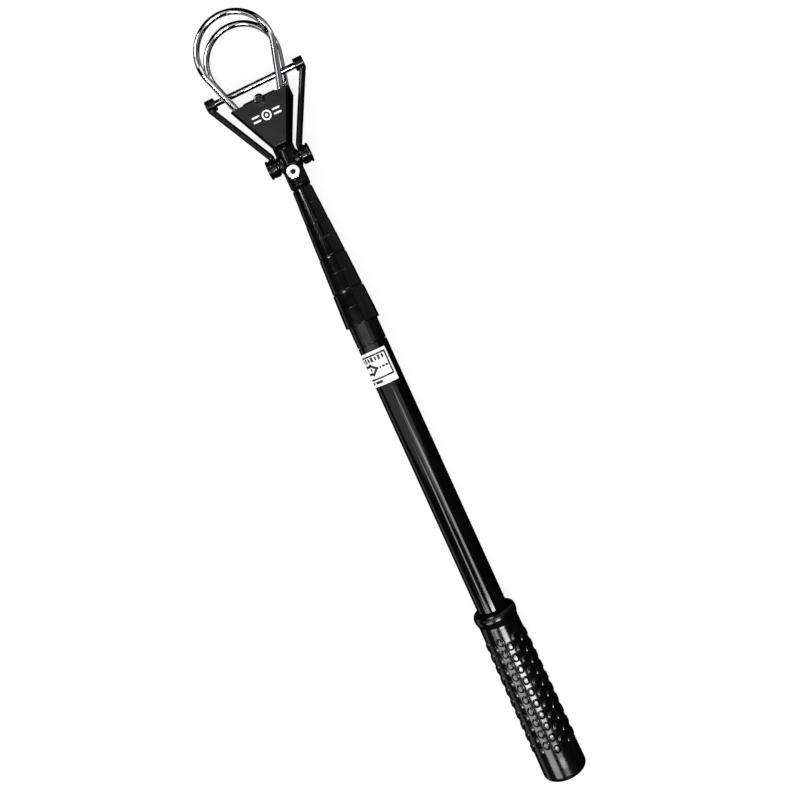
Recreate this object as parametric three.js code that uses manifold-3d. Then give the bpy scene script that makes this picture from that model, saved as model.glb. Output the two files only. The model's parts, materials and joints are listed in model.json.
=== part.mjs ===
// Telescopic golf ball retriever: five nested tubes, a moulded wedge head with two wire hoops,
// and a sprung crossbar that swings between the hoops and keeps the ball in.
// The pole runs along X (butt at the low end), the head's front face looks up (+Z).
import * as THREE from 'three';
import { ConvexGeometry } from 'three/addons/geometries/ConvexGeometry.js';
import { mergeVertices } from 'three/addons/utils/BufferGeometryUtils.js';
import Module from 'manifold-3d';

const wasm = await Module();
wasm.setup();

// ---------------------------------------------------------------- driving dimensions, mm
// Stations along the pole are measured from the butt of the grip.
const ROUND_SIDES = 36; // facets round the pole; every coaxial piece shares them
const FIT = 0.1; // radial clearance of a piece fixed on another
const BREAK = 0.3; // gap between two end faces that touch

const GRIP = { length: 106.3, buttRadius: 13.55, neckRadius: 12.3, neckX: 97.6, beadX: 102.8, beadRadius: 13.4 };
// The studded part, as a plain cone over the studs' tops.
const STUDS = { from: 17.4, to: 92.1, lowRadius: 13.9, highRadius: 13.3 };
const GRIP_BUTT_WALL = 3.9;
const GRIP_VENT_RADIUS = 1.0;

const TUBE_WALL = 0.7;
const OUTER_TUBE = { radius: 9.25, from: 4.2, to: 280.0 };
// Each inner section: tube radius, lower end, and the collar on its upper end.
const SECTIONS = [
  { n: 2, radius: 7.8, from: 20, collar: { from: 315.3, to: 337.5, rBottom: 9.55, rTop: 8.7 } },
  { n: 3, radius: 6.45, from: 24, collar: { from: 337.8, to: 359.6, rBottom: 8.45, rTop: 7.48 } },
  { n: 4, radius: 5.1, from: 28, collar: { from: 359.9, to: 381.7, rBottom: 7.25, rTop: 6.25 } },
];
const COLLAR_LIP = 2.5; // thickness of the lip that closes a collar round the next tube
const COLLAR_STEP = 0.2; // radial step half-way up a collar
const OUTER_COLLAR = { stemFrom: 280.3, from: 293.5, to: 315.0, rBottom: 10.85, rTop: 10.0 };
const SPIGOT = { from: 266, radius: 8.45, bore: 7.95 };
const BUSH_LENGTH = 34;
const PLUG_LENGTH = 12;
const LABEL = { from: 255, to: 276, thickness: 0.12, startDeg: -47.7, endDeg: 125 };

const ROD = { radius: 3.75, from: 32, to: 396.8 };
const NECK = { from: 382.0, to: 412, radius: 6.35, chamfer: 1.2 };
const RIVET = { x: 392.0, shank: 1.5, bore: 0.95, headRadius: 4.15, seatZ: 5.4, headZ: 6.7 };
const PIVOT = { x: 399.6, pinRadius: 2.0, pinHalf: 13.5, bossRadius: 5.4, bossHalf: 7.1 };
// Cross-sections of the wedge: half width w and half depth of its upright sides, then half width
// and half depth h of its flat faces. A narrow bevel joins each side to each face.
const WEDGE = [
  { x: 406.8, w: 5.0, side: 4.4, face: 3.1, h: 6.3 },
  { x: 409.2, w: 5.6, side: 7.4, face: 3.8, h: 9.2 },
  { x: 437.0, w: 18.3, side: 11.2, face: 16.9, h: 12.9 },
  { x: 437.9, w: 17.6, side: 10.4, face: 16.2, h: 12.1 },
];
const LIP = { from: 437.0, to: 439.0, halfWidth: 10.9, halfDepth: 11.9 };
const SCREW = { x: 437.1, headRadius: 3.25, bossRadius: 3.1, shank: 1.4, recess: 1.4, seatZ: 13.0, headZ: 14.3 };
const NUT = { radius: 2.4, depth: 1.8, z: -12.7 };

const WIRE_RADIUS = 1.9;
const HOOP_Z = 10.3; // distance of each hoop's plane from the pole axis
// Centre of each round loop, and how far from the pole axis its two legs go into the head.
// Both loops sit a little towards +Y, as the wires are bent by hand.
const HOOPS = [
  { name: 'hoop_front', side: 1, x: 469.5, y: 1.5, radius: 23.3, leftLeg: 15.0, rightLeg: 13.4 },
  { name: 'hoop_back', side: -1, x: 469.4, y: 1.5, radius: 22.95, leftLeg: 15.1, rightLeg: 14.5 },
];
const HOOP_ENTRY_X = 437; // where the legs go into the head
// Inside the head each leg bends in towards the pole: steps along it, across it and in depth.
const HOOP_ROOT = [[20, 9.7, 5.7], [13, 6.6, 3.7], [6, 3.0, 1.5]];
const SOCKET_GAP = 0.15;

const BAR = { x: 450.0, radius: 1.9, halfLength: 30.6 };
const TIP = { radius: 3.85, inner: 26.4, outer: 32.4 };
const HUB = { radius: 5.65, inner: 7.4, outer: 13.9, flangeRadius: 5.9, flangeFrom: 12.6, groove: 0.5 };
const ARM_RADIUS = 1.95;
const ARM_FROM = { x: 403.5, y: 7.8 };
const ARM_TO = { x: 447.2, y: 30.55 };
const SPRING = { radius: 2.95, wire: 0.35, turns: 3, from: 7.9, to: 10.4 };
const SPRING_POCKET = { radius: 3.9, to: 11.0 };

const OVERALL_MIDDLE = 247.35; // half of the overall length
const REST_HEIGHT = 13.9; // pole axis above the surface that it lies on

// ---------------------------------------------------------------- materials
const material = (color, roughness, metalness) =>
  new THREE.MeshStandardMaterial({ color, roughness, metalness });
const rubber = material(0x0b0b0c, 0.35, 0);
const anodised = material(0x08080a, 0.18, 0.6);
const glossPlastic = material(0x0c0c0e, 0.22, 0);
const headPlastic = material(0x26262a, 0.5, 0);
const chrome = material(0xd8dade, 0.08, 1);
const steel = material(0xa9acb0, 0.3, 1);
const acetal = material(0xe6e4dc, 0.5, 0);
const vinyl = material(0xf4f4f2, 0.4, 0);

// ---------------------------------------------------------------- geometry helpers
const AXIS = {
  x: new THREE.Matrix4().makeRotationZ(-Math.PI / 2),
  y: new THREE.Matrix4(),
  z: new THREE.Matrix4().makeRotationX(Math.PI / 2),
};

function signedVolume(geometry) {
  const p = geometry.attributes.position;
  const index = geometry.index ? geometry.index.array : p.array.map((_, i) => i);
  const count = geometry.index ? index.length : p.count;
  const [a, b, c] = [new THREE.Vector3(), new THREE.Vector3(), new THREE.Vector3()];
  let sum = 0;
  for (let i = 0; i < count; i += 3) {
    a.fromBufferAttribute(p, index[i]);
    b.fromBufferAttribute(p, index[i + 1]);
    c.fromBufferAttribute(p, index[i + 2]);
    sum += a.dot(b.cross(c)) / 6;
  }
  return sum;
}

// Shared corners merged and every face pointing out.
function closed(geometry) {
  geometry.deleteAttribute('normal');
  geometry.deleteAttribute('uv');
  const merged = mergeVertices(geometry, 1e-4);
  if (signedVolume(merged) < 0) {
    const index = merged.index.array;
    for (let i = 0; i < index.length; i += 3) [index[i], index[i + 1]] = [index[i + 1], index[i]];
  }
  return merged;
}

function toSolid(geometry) {
  const merged = closed(geometry);
  return new wasm.Manifold(new wasm.Mesh({
    numProp: 3,
    vertProperties: new Float32Array(merged.attributes.position.array),
    triVerts: new Uint32Array(merged.index.array),
  }));
}

function toGeometry(solid) {
  const mesh = solid.getMesh();
  const geometry = new THREE.BufferGeometry();
  geometry.setAttribute('position', new THREE.BufferAttribute(mesh.vertProperties.slice(), 3));
  geometry.setIndex(new THREE.BufferAttribute(mesh.triVerts.slice(), 1));
  return geometry;
}

// A profile of [station, radius] pairs turned round an axis; closing joins its two ends.
function turned(profile, { axis = 'x', sides = ROUND_SIDES, ring = false, at = [0, 0, 0] } = {}) {
  const points = profile.map(([station, radius]) => new THREE.Vector2(radius, station));
  if (ring) points.push(points[0].clone());
  return new THREE.LatheGeometry(points, sides).applyMatrix4(AXIS[axis]).translate(...at);
}

// A plain cylinder between two stations on an axis.
const cylinder = (from, to, radius, options) =>
  turned([[from, 0], [from, radius], [to, radius], [to, 0]], options);

// A tube between two stations.
const sleeve = (from, to, outer, inner, options) =>
  turned([[from, inner], [from, outer], [to, outer], [to, inner]], { ring: true, ...options });

// Round wire or rod along a curve.
function wireAlong(curve, radius, sides, steps) {
  const corners = [];
  for (let i = 0; i < sides; i++) {
    const angle = (2 * Math.PI * i) / sides;
    corners.push(new THREE.Vector2(radius * Math.cos(angle), radius * Math.sin(angle)));
  }
  return new THREE.ExtrudeGeometry(new THREE.Shape(corners), { steps, extrudePath: curve });
}

// ---------------------------------------------------------------- the scene graph
const retriever = new THREE.Group();
retriever.position.set(-OVERALL_MIDDLE, 0, REST_HEIGHT);

function add(name, geometry, finish) {
  const mesh = new THREE.Mesh(closed(geometry), finish);
  mesh.name = name;
  retriever.add(mesh);
}

// ---------------------------------------------------------------- handle
function gripShape() {
  const boreRadius = OUTER_TUBE.radius + FIT;
  const round = 2.5;
  const profile = [[0, GRIP_VENT_RADIUS]];
  for (let i = 0; i <= 3; i++) {
    const angle = (Math.PI / 2) * (i / 3);
    profile.push([round * (1 - Math.cos(angle)), GRIP.buttRadius - round * (1 - Math.sin(angle))]);
  }
  profile.push([STUDS.from - 2, GRIP.buttRadius - 0.1], [STUDS.from, STUDS.lowRadius]);
  profile.push([STUDS.to, STUDS.highRadius], [STUDS.to + 2, GRIP.neckRadius + 0.1]);
  profile.push([GRIP.neckX, GRIP.neckRadius]);
  const beadRise = GRIP.beadRadius - GRIP.neckRadius;
  for (let i = 1; i <= 3; i++) {
    const angle = (Math.PI / 2) * (i / 3);
    const x = GRIP.neckX + (GRIP.beadX - GRIP.neckX) * (i / 3);
    profile.push([x, GRIP.neckRadius + beadRise * Math.sin(angle) ** 2]);
  }
  const lip = GRIP.length - GRIP.beadX;
  for (let i = 1; i <= 3; i++) {
    const angle = (Math.PI / 2) * (i / 3);
    profile.push([GRIP.beadX + lip * Math.sin(angle), GRIP.beadRadius - 2.2 * (1 - Math.cos(angle))]);
  }
  profile.push([GRIP.length - 0.9, boreRadius], [GRIP_BUTT_WALL, boreRadius]);
  profile.push([GRIP_BUTT_WALL, GRIP_VENT_RADIUS]);
  return turned(profile, { ring: true });
}

function outerCollarShape() {
  const { stemFrom, from, to, rBottom, rTop } = OUTER_COLLAR;
  const middle = (from + to) / 2;
  const slope = (rBottom - rTop) / (to - from);
  return turned([
    [SPIGOT.from, SPIGOT.bore],
    [SPIGOT.from, SPIGOT.radius],
    [stemFrom, SPIGOT.radius],
    [stemFrom, OUTER_TUBE.radius],
    [from, OUTER_TUBE.radius],
    [from, rBottom - 0.4],
    [from + 0.5, rBottom],
    [middle, rBottom - slope * (middle - from) + COLLAR_STEP / 2],
    [middle + 0.3, rBottom - slope * (middle - from) - COLLAR_STEP / 2],
    [to - 0.7, rTop],
    [to, rTop - 0.7],
    [to, SPIGOT.bore],
  ], { ring: true });
}

// A collar is a cup on its tube's end, with a lip whose bore guides the next tube.
function collarShape(tubeRadius, nextRadius, { from, to, rBottom, rTop }) {
  const cup = tubeRadius + FIT;
  const bore = nextRadius + 0.2;
  const middle = (from + to) / 2;
  const slope = (rBottom - rTop) / (to - from);
  const atMiddle = rBottom - slope * (middle - from);
  return turned([
    [from, cup],
    [from, rBottom - 0.35],
    [from + 0.5, rBottom],
    [middle, atMiddle + COLLAR_STEP / 2],
    [middle + 0.3, atMiddle - COLLAR_STEP / 2],
    [to - 0.7, rTop],
    [to, rTop - 0.6],
    [to, bore],
    [to - COLLAR_LIP, bore],
    [to - COLLAR_LIP, cup],
  ], { ring: true });
}

function labelShape() {
  const inner = OUTER_TUBE.radius + 0.03;
  const outer = inner + LABEL.thickness;
  const steps = 24;
  const corners = [];
  for (let side = 0; side < 2; side++) {
    for (let i = 0; i <= steps; i++) {
      const share = side ? 1 - i / steps : i / steps;
      const angle = THREE.MathUtils.degToRad(LABEL.startDeg + share * (LABEL.endDeg - LABEL.startDeg));
      const radius = side ? inner / Math.cos(Math.PI / ROUND_SIDES) : outer / Math.cos(Math.PI / ROUND_SIDES);
      corners.push(new THREE.Vector2(radius * Math.sin(angle), radius * Math.cos(angle)));
    }
  }
  const geometry = new THREE.ExtrudeGeometry(new THREE.Shape(corners), {
    depth: LABEL.to - LABEL.from,
    bevelEnabled: false,
  });
  const upright = new THREE.Matrix4().makeBasis(
    new THREE.Vector3(0, 1, 0), new THREE.Vector3(0, 0, 1), new THREE.Vector3(1, 0, 0));
  return geometry.applyMatrix4(upright).translate(LABEL.from, 0, 0);
}

add('grip', gripShape(), rubber);
const outerBore = OUTER_TUBE.radius - TUBE_WALL;
const plugRadius = outerBore - FIT;
add('tube_1', sleeve(OUTER_TUBE.from, OUTER_TUBE.to, OUTER_TUBE.radius, outerBore), anodised);
add('butt_plug', sleeve(OUTER_TUBE.from, OUTER_TUBE.from + PLUG_LENGTH, plugRadius, 1.5), glossPlastic);
add('collar_1', outerCollarShape(), glossPlastic);
add('label', labelShape(), vinyl);

// ---------------------------------------------------------------- sliding sections
let enclosing = outerBore;
SECTIONS.forEach(({ n, radius, from, collar }, i) => {
  const nextRadius = i + 1 < SECTIONS.length ? SECTIONS[i + 1].radius : ROD.radius;
  const tubeEnd = collar.to - COLLAR_LIP - FIT;
  add(`tube_${n}`, sleeve(from, tubeEnd, radius, radius - TUBE_WALL), anodised);
  add(`collar_${n}`, collarShape(radius, nextRadius, collar), glossPlastic);
  add(`bush_${n}`, sleeve(from, from + BUSH_LENGTH, enclosing - FIT, radius + FIT / 2), acetal);
  enclosing = radius - TUBE_WALL;
});

// ---------------------------------------------------------------- head
const acrossZ = (x, from, to, radius, sides = 20) =>
  cylinder(from, to, radius, { axis: 'z', sides, at: [x, 0, 0] });
const acrossY = (x, from, to, radius, sides = 24) =>
  cylinder(from, to, radius, { axis: 'y', sides, at: [x, 0, 0] });

function wedgeShape() {
  const corners = [];
  for (const { x, w, side, face, h } of WEDGE) {
    for (const hand of [-1, 1]) {
      corners.push(new THREE.Vector3(x, hand * w, side), new THREE.Vector3(x, hand * w, -side));
      corners.push(new THREE.Vector3(x, hand * face, h), new THREE.Vector3(x, hand * face, -h));
    }
  }
  return new ConvexGeometry(corners);
}

function slab({ from, to, halfWidth, halfDepth }) {
  const box = new THREE.BoxGeometry(to - from, 2 * halfWidth, 2 * halfDepth);
  return toSolid(box.translate((from + to) / 2, 0, 0));
}

// One leg of a hoop, from its hidden end to where it meets the loop; hand is +1 on the +Y side.
function hoopLeg({ x, y, radius }, entry, hand) {
  const along = x - HOOP_ENTRY_X;
  const across = hand * y - entry;
  const lean = Math.atan2(across, along) + Math.asin(radius / Math.hypot(along, across));
  const points = HOOP_ROOT.map(([back, inwards, deeper]) => (
    [HOOP_ENTRY_X - back, entry - inwards, HOOP_Z - deeper]));
  points.push([HOOP_ENTRY_X, entry, HOOP_Z]);
  const straight = along - radius * Math.sin(lean);
  points.push([HOOP_ENTRY_X + straight / 2, entry + (straight / 2) * Math.tan(lean), HOOP_Z]);
  return { lean, points: points.map(([px, py, pz]) => [px, hand * py, pz]) };
}

// The whole wire: a leg, the round loop and the other leg.
function hoopCurve(hoop) {
  const left = hoopLeg(hoop, hoop.leftLeg, 1);
  const right = hoopLeg(hoop, hoop.rightLeg, -1);
  const points = [...left.points];
  const arcSteps = 16;
  const sweep = Math.PI + left.lean + right.lean;
  for (let i = 0; i <= arcSteps; i++) {
    const angle = Math.PI / 2 + left.lean - (i / arcSteps) * sweep;
    points.push([hoop.x + hoop.radius * Math.cos(angle), hoop.y + hoop.radius * Math.sin(angle), HOOP_Z]);
  }
  points.push(...right.points.reverse());
  return new THREE.CatmullRomCurve3(points.map(([px, py, pz]) => new THREE.Vector3(px, py, hoop.side * pz)));
}

const hoopWire = (hoop, extra) => wireAlong(hoopCurve(hoop), WIRE_RADIUS + extra, 10, 64);

function headSolid() {
  const neck = turned([
    [NECK.from, 0],
    [NECK.from, NECK.radius - NECK.chamfer],
    [NECK.from + NECK.chamfer, NECK.radius],
    [NECK.to, NECK.radius],
    [NECK.to, 0],
  ]);
  let solid = toSolid(wedgeShape()).add(toSolid(neck)).add(slab(LIP));
  solid = solid.add(toSolid(acrossY(PIVOT.x, -PIVOT.bossHalf, PIVOT.bossHalf, PIVOT.bossRadius)));
  solid = solid.add(toSolid(acrossZ(SCREW.x, -SCREW.seatZ + 0.5, SCREW.seatZ, SCREW.bossRadius)));
  const reach = 20; // longer than any wall is thick
  const cuts = [
    cylinder(NECK.from - 1, ROD.to + BREAK, ROD.radius + FIT),
    acrossY(PIVOT.x, -reach, reach, PIVOT.pinRadius + 0.15),
    acrossZ(RIVET.x, -reach, reach, RIVET.shank + 0.2),
    acrossZ(RIVET.x, RIVET.seatZ - 0.1, reach, RIVET.headRadius + 0.3),
    acrossZ(RIVET.x, -reach, -RIVET.seatZ + 0.1, RIVET.headRadius + 0.3),
    acrossZ(SCREW.x, -reach, reach, SCREW.shank + 0.2),
    acrossZ(SCREW.x, -reach, NUT.z + NUT.depth + 0.1, NUT.radius + 0.15, 6),
    ...HOOPS.map((hoop) => hoopWire(hoop, SOCKET_GAP)),
  ];
  return cuts.reduce((rest, cut) => rest.subtract(toSolid(cut)), solid);
}

// The head is moulded in two halves that meet on the pole's middle plane.
function half(solid, side) {
  const size = 80;
  const block = new THREE.BoxGeometry(size, size, size);
  block.translate((NECK.from + LIP.to) / 2, 0, side * (size / 2 + 0.05));
  return toGeometry(solid.intersect(toSolid(block)));
}

function rodShape() {
  const tube = toSolid(sleeve(ROD.from, ROD.to, ROD.radius, ROD.radius - TUBE_WALL));
  return toGeometry(tube.subtract(toSolid(acrossZ(RIVET.x, -10, 10, RIVET.shank + 0.2))));
}

// A hollow rivet with a flange on each face and a groove round the flange.
function rivetShape() {
  const { shank, bore, headRadius, seatZ, headZ } = RIVET;
  const upper = [
    [seatZ, shank],
    [seatZ, headRadius],
    [headZ - 0.5, headRadius],
    [headZ, headRadius - 0.6],
    [headZ, 2.9],
    [headZ - 0.35, 2.6],
    [headZ - 0.35, 1.9],
    [headZ - 0.05, 1.6],
    [headZ - 0.6, bore],
  ];
  const lower = upper.map(([z, r]) => [-z, r]).reverse();
  return turned([...upper, ...lower], { axis: 'z', sides: 20, ring: true, at: [RIVET.x, 0, 0] });
}

function screwShape() {
  const { headRadius, shank, seatZ, headZ, recess, x } = SCREW;
  const tip = NUT.z + 0.1;
  const gap = 0.1;
  return turned([
    [tip, 0],
    [tip, shank],
    [seatZ + gap, shank],
    [seatZ + gap, headRadius],
    [headZ - 0.5, headRadius],
    [headZ, headRadius - 0.6],
    [headZ, recess],
    [headZ - 0.5, recess - 0.1],
    [headZ - 0.5, 0],
  ], { axis: 'z', sides: 24, at: [x, 0, 0] });
}

const headBody = headSolid();
add('rod_5', rodShape(), anodised);
add('bush_5', sleeve(ROD.from, ROD.from + BUSH_LENGTH, enclosing - FIT, ROD.radius + FIT / 2), acetal);
add('head_front', half(headBody, 1), headPlastic);
add('head_back', half(headBody, -1), headPlastic);
HOOPS.forEach((hoop) => add(hoop.name, hoopWire(hoop, 0), chrome));
add('rivet', rivetShape(), chrome);
add('head_screw', screwShape(), glossPlastic);
const nutBore = (SCREW.shank + 0.15) / Math.cos(Math.PI / 6);
const nutPlace = { axis: 'z', sides: 6, at: [SCREW.x, 0, 0] };
add('head_nut', sleeve(NUT.z, NUT.z + NUT.depth, NUT.radius, nutBore, nutPlace), steel);
add('pivot_pin', turned([
  [-PIVOT.pinHalf, 0],
  [-PIVOT.pinHalf, PIVOT.pinRadius - 0.4],
  [-PIVOT.pinHalf + 0.4, PIVOT.pinRadius],
  [PIVOT.pinHalf - 0.4, PIVOT.pinRadius],
  [PIVOT.pinHalf, PIVOT.pinRadius - 0.4],
  [PIVOT.pinHalf, 0],
], { axis: 'y', sides: 24, at: [PIVOT.x, 0, 0] }), steel);

// ---------------------------------------------------------------- sprung crossbar
class Helix extends THREE.Curve {
  constructor(side) {
    super();
    this.side = side;
  }

  getPoint(t, target = new THREE.Vector3()) {
    const angle = 2 * Math.PI * SPRING.turns * t;
    const y = SPRING.from + (SPRING.to - SPRING.from) * t;
    return target.set(
      PIVOT.x + SPRING.radius * Math.cos(angle), this.side * y, SPRING.radius * Math.sin(angle));
  }
}

const mirrored = (side, from, to) => (side > 0 ? [from, to] : [-to, -from]);

function armShape(side) {
  const y = (from, to) => mirrored(side, from, to);
  const line = new THREE.LineCurve3(
    new THREE.Vector3(ARM_FROM.x, side * ARM_FROM.y, 0), new THREE.Vector3(ARM_TO.x, side * ARM_TO.y, 0));
  let solid = toSolid(acrossY(PIVOT.x, ...y(HUB.inner, HUB.flangeFrom - HUB.groove), HUB.radius));
  solid = solid.add(toSolid(acrossY(PIVOT.x, ...y(HUB.inner + 1, HUB.outer - 0.2), HUB.radius - 0.6)));
  solid = solid.add(toSolid(acrossY(PIVOT.x, ...y(HUB.flangeFrom, HUB.outer), HUB.flangeRadius)));
  solid = solid.add(toSolid(wireAlong(line, ARM_RADIUS, 12, 1)));
  solid = solid.add(toSolid(acrossY(BAR.x, ...y(TIP.inner, TIP.outer), TIP.radius)));
  const besideHead = new THREE.BoxGeometry(30, HUB.inner, 30);
  const cuts = [
    besideHead.translate(ARM_FROM.x, side * (HUB.inner / 2), 0),
    acrossY(PIVOT.x, ...y(HUB.inner - 1, HUB.outer + 1), PIVOT.pinRadius + 0.2),
    acrossY(PIVOT.x, ...y(HUB.inner - 1, SPRING_POCKET.to), SPRING_POCKET.radius),
    acrossY(BAR.x, ...y(TIP.inner - 1, BAR.halfLength + 0.2), BAR.radius + 0.15),
  ];
  return toGeometry(cuts.reduce((rest, cut) => rest.subtract(toSolid(cut)), solid));
}

for (const [name, side] of [['left', 1], ['right', -1]]) {
  add(`arm_${name}`, armShape(side), glossPlastic);
  add(`spring_${name}`, wireAlong(new Helix(side), SPRING.wire, 6, 12 * SPRING.turns), steel);
}
add('crossbar', acrossY(BAR.x, -BAR.halfLength, BAR.halfLength, BAR.radius, 20), chrome);

export default retriever;
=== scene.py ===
"""Looks of a telescopic golf ball retriever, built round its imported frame.

The retriever's lengths are in millimetres in its own stations: x from the butt of the grip, y across
the head, z up from the pole's axis. place() turns them into the frame's metres. The floor, the soft
boxes and the camera are in metres.
"""

import json
import math

import bpy
import numpy as np
import openvdb
from mathutils import Matrix, Vector


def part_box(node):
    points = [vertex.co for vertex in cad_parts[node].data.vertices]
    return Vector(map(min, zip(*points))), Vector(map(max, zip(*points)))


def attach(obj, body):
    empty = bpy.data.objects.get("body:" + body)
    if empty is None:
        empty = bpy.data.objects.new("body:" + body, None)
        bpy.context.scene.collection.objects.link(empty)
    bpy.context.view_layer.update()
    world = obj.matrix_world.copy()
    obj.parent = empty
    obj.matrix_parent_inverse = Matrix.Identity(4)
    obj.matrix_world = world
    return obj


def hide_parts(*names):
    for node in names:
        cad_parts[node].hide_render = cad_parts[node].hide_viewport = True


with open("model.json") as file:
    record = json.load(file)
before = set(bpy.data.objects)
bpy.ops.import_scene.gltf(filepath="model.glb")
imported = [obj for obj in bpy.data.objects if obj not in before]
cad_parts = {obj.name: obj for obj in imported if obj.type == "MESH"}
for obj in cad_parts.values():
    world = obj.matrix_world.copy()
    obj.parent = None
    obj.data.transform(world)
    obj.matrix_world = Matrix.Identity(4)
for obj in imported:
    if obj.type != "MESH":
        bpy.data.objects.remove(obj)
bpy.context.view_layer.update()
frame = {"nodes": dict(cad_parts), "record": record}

MM = 0.001
BUTT_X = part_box("grip")[0].x
AXIS_Z = (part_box("tube_1")[0].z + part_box("tube_1")[1].z) / 2


def place(x, y, z):
    return Vector((BUTT_X + x * MM, y * MM, AXIS_Z + z * MM))


def stations(node):
    """Lowest and highest corner of a CAD node, as (x, y, z) in millimetres."""
    return [Vector(((c.x - BUTT_X) / MM, c.y / MM, (c.z - AXIS_Z) / MM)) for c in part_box(node)]


# ------------------------------------------------------------------ node materials
class Shader:
    """A Principled material fed by procedural textures in object space."""

    def __init__(self, name, color, roughness, metallic=0.0, **sockets):
        self.material = bpy.data.materials.new(name)
        self.material.use_nodes = True
        self.nodes = self.material.node_tree.nodes
        self.links = self.material.node_tree.links
        self.shader = self.nodes["Principled BSDF"]
        self.color = color
        self.coords = self.nodes.new("ShaderNodeTexCoord").outputs["Object"]
        self.shader.inputs["Base Color"].default_value = (*color, 1)
        self.shader.inputs["Roughness"].default_value = roughness
        self.shader.inputs["Metallic"].default_value = metallic
        for socket, value in sockets.items():
            self.shader.inputs[socket.replace("_", " ")].default_value = value
        self.normal = None

    def noise(self, size_mm, detail=3.0, stretch=(1, 1, 1), roughness=0.55, offset=0.0):
        """Noise with features about size_mm across, longer along an axis where stretch is above 1."""
        mapping = self.nodes.new("ShaderNodeMapping")
        mapping.inputs["Scale"].default_value = [1000 / size_mm / s for s in stretch]
        mapping.inputs["Location"].default_value = (offset, offset * 0.7, offset * 1.3)
        self.links.new(self.coords, mapping.inputs["Vector"])
        texture = self.nodes.new("ShaderNodeTexNoise")
        texture.inputs["Scale"].default_value = 1.0
        texture.inputs["Detail"].default_value = detail
        texture.inputs["Roughness"].default_value = roughness
        self.links.new(mapping.outputs["Vector"], texture.inputs["Vector"])
        return texture.outputs["Fac"]

    def remap(self, value, low, high, from_low=0.3, from_high=0.7):
        """The value's range from from_low to from_high, stretched to low and high and held there."""
        node = self.nodes.new("ShaderNodeMapRange")
        node.inputs["From Min"].default_value = from_low
        node.inputs["From Max"].default_value = from_high
        node.inputs["To Min"].default_value = low
        node.inputs["To Max"].default_value = high
        self.links.new(value, node.inputs["Value"])
        return node.outputs["Result"]

    def math(self, operation, a, b):
        node = self.nodes.new("ShaderNodeMath")
        node.operation = operation
        for socket, value in zip(node.inputs, (a, b)):
            if isinstance(value, (int, float)):
                socket.default_value = value
            else:
                self.links.new(value, socket)
        return node.outputs["Value"]

    def vary_roughness(self, value, low, high, **window):
        self.links.new(self.remap(value, low, high, **window), self.shader.inputs["Roughness"])

    def vary_color(self, value, other, **window):
        mix = self.nodes.new("ShaderNodeMix")
        mix.data_type = "RGBA"
        mix.inputs["A"].default_value = (*self.color, 1)
        mix.inputs["B"].default_value = (*other, 1)
        self.links.new(self.remap(value, 0.0, 1.0, **window), mix.inputs["Factor"])
        self.links.new(mix.outputs["Result"], self.shader.inputs["Base Color"])

    def bump(self, height, depth_mm):
        """Relief depth_mm deep, on top of any relief added before."""
        node = self.nodes.new("ShaderNodeBump")
        node.inputs["Strength"].default_value = 1.0
        node.inputs["Distance"].default_value = depth_mm * MM
        self.links.new(height, node.inputs["Height"])
        if self.normal is not None:
            self.links.new(self.normal, node.inputs["Normal"])
        self.normal = node.outputs["Normal"]
        self.links.new(self.normal, self.shader.inputs["Normal"])


DEEP_BLACK = (0.001, 0.001, 0.0011)
WORN_BLACK = (0.0025, 0.0025, 0.0027)


def lacquered_tube():
    s = Shader("black_lacquer", DEEP_BLACK, 0.1, IOR=1.5)
    along = s.noise(0.5, detail=2, stretch=(40, 1, 1))
    cloud = s.noise(14, detail=4, stretch=(2, 1, 1))
    s.vary_roughness(s.math("MULTIPLY", s.math("ADD", along, cloud), 0.5), 0.06, 0.12)
    s.vary_color(cloud, (0.002, 0.002, 0.0023))
    s.bump(s.noise(4.5, detail=2, stretch=(2.5, 1, 1)), 0.006)
    s.bump(along, 0.0006)
    return s.material


def gloss_plastic():
    s = Shader("gloss_black_plastic", DEEP_BLACK, 0.13, IOR=1.49)
    cloud = s.noise(6, detail=4)
    s.vary_roughness(cloud, 0.10, 0.19)
    s.vary_color(s.noise(9, detail=5, offset=4), WORN_BLACK)
    s.bump(s.noise(3.2, detail=2, offset=2), 0.008)
    s.bump(s.noise(0.22, detail=1, offset=7), 0.0008)
    return s.material


def arm_plastic():
    s = Shader("satin_black_plastic", DEEP_BLACK, 0.16, IOR=1.49)
    s.vary_roughness(s.noise(4, detail=4, offset=3), 0.11, 0.2)
    s.vary_color(s.noise(7, detail=4, offset=9), WORN_BLACK)
    s.bump(s.noise(2.4, detail=2), 0.008)
    s.bump(s.noise(0.25, detail=2, offset=5), 0.002)
    return s.material


# The wedge's corners, as (station, half width, half depth). Its flat face ends at the FACE corners and
# its upright side at the SIDE corners, and a bevel joins the two.
WEDGE_FOOT, WEDGE_TOP = 409.2, 437.0
FOOT_FACE = (WEDGE_FOOT, 3.3, 9.2)
FOOT_SIDE = (WEDGE_FOOT, 5.4, 7.4)
TOP_FACE = (WEDGE_TOP, 16.4, 12.9)
TOP_SIDE = (WEDGE_TOP, 18.3, 11.2)
FACE_SLOPE = (TOP_FACE[2] - FOOT_FACE[2]) / (WEDGE_TOP - WEDGE_FOOT)


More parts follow.
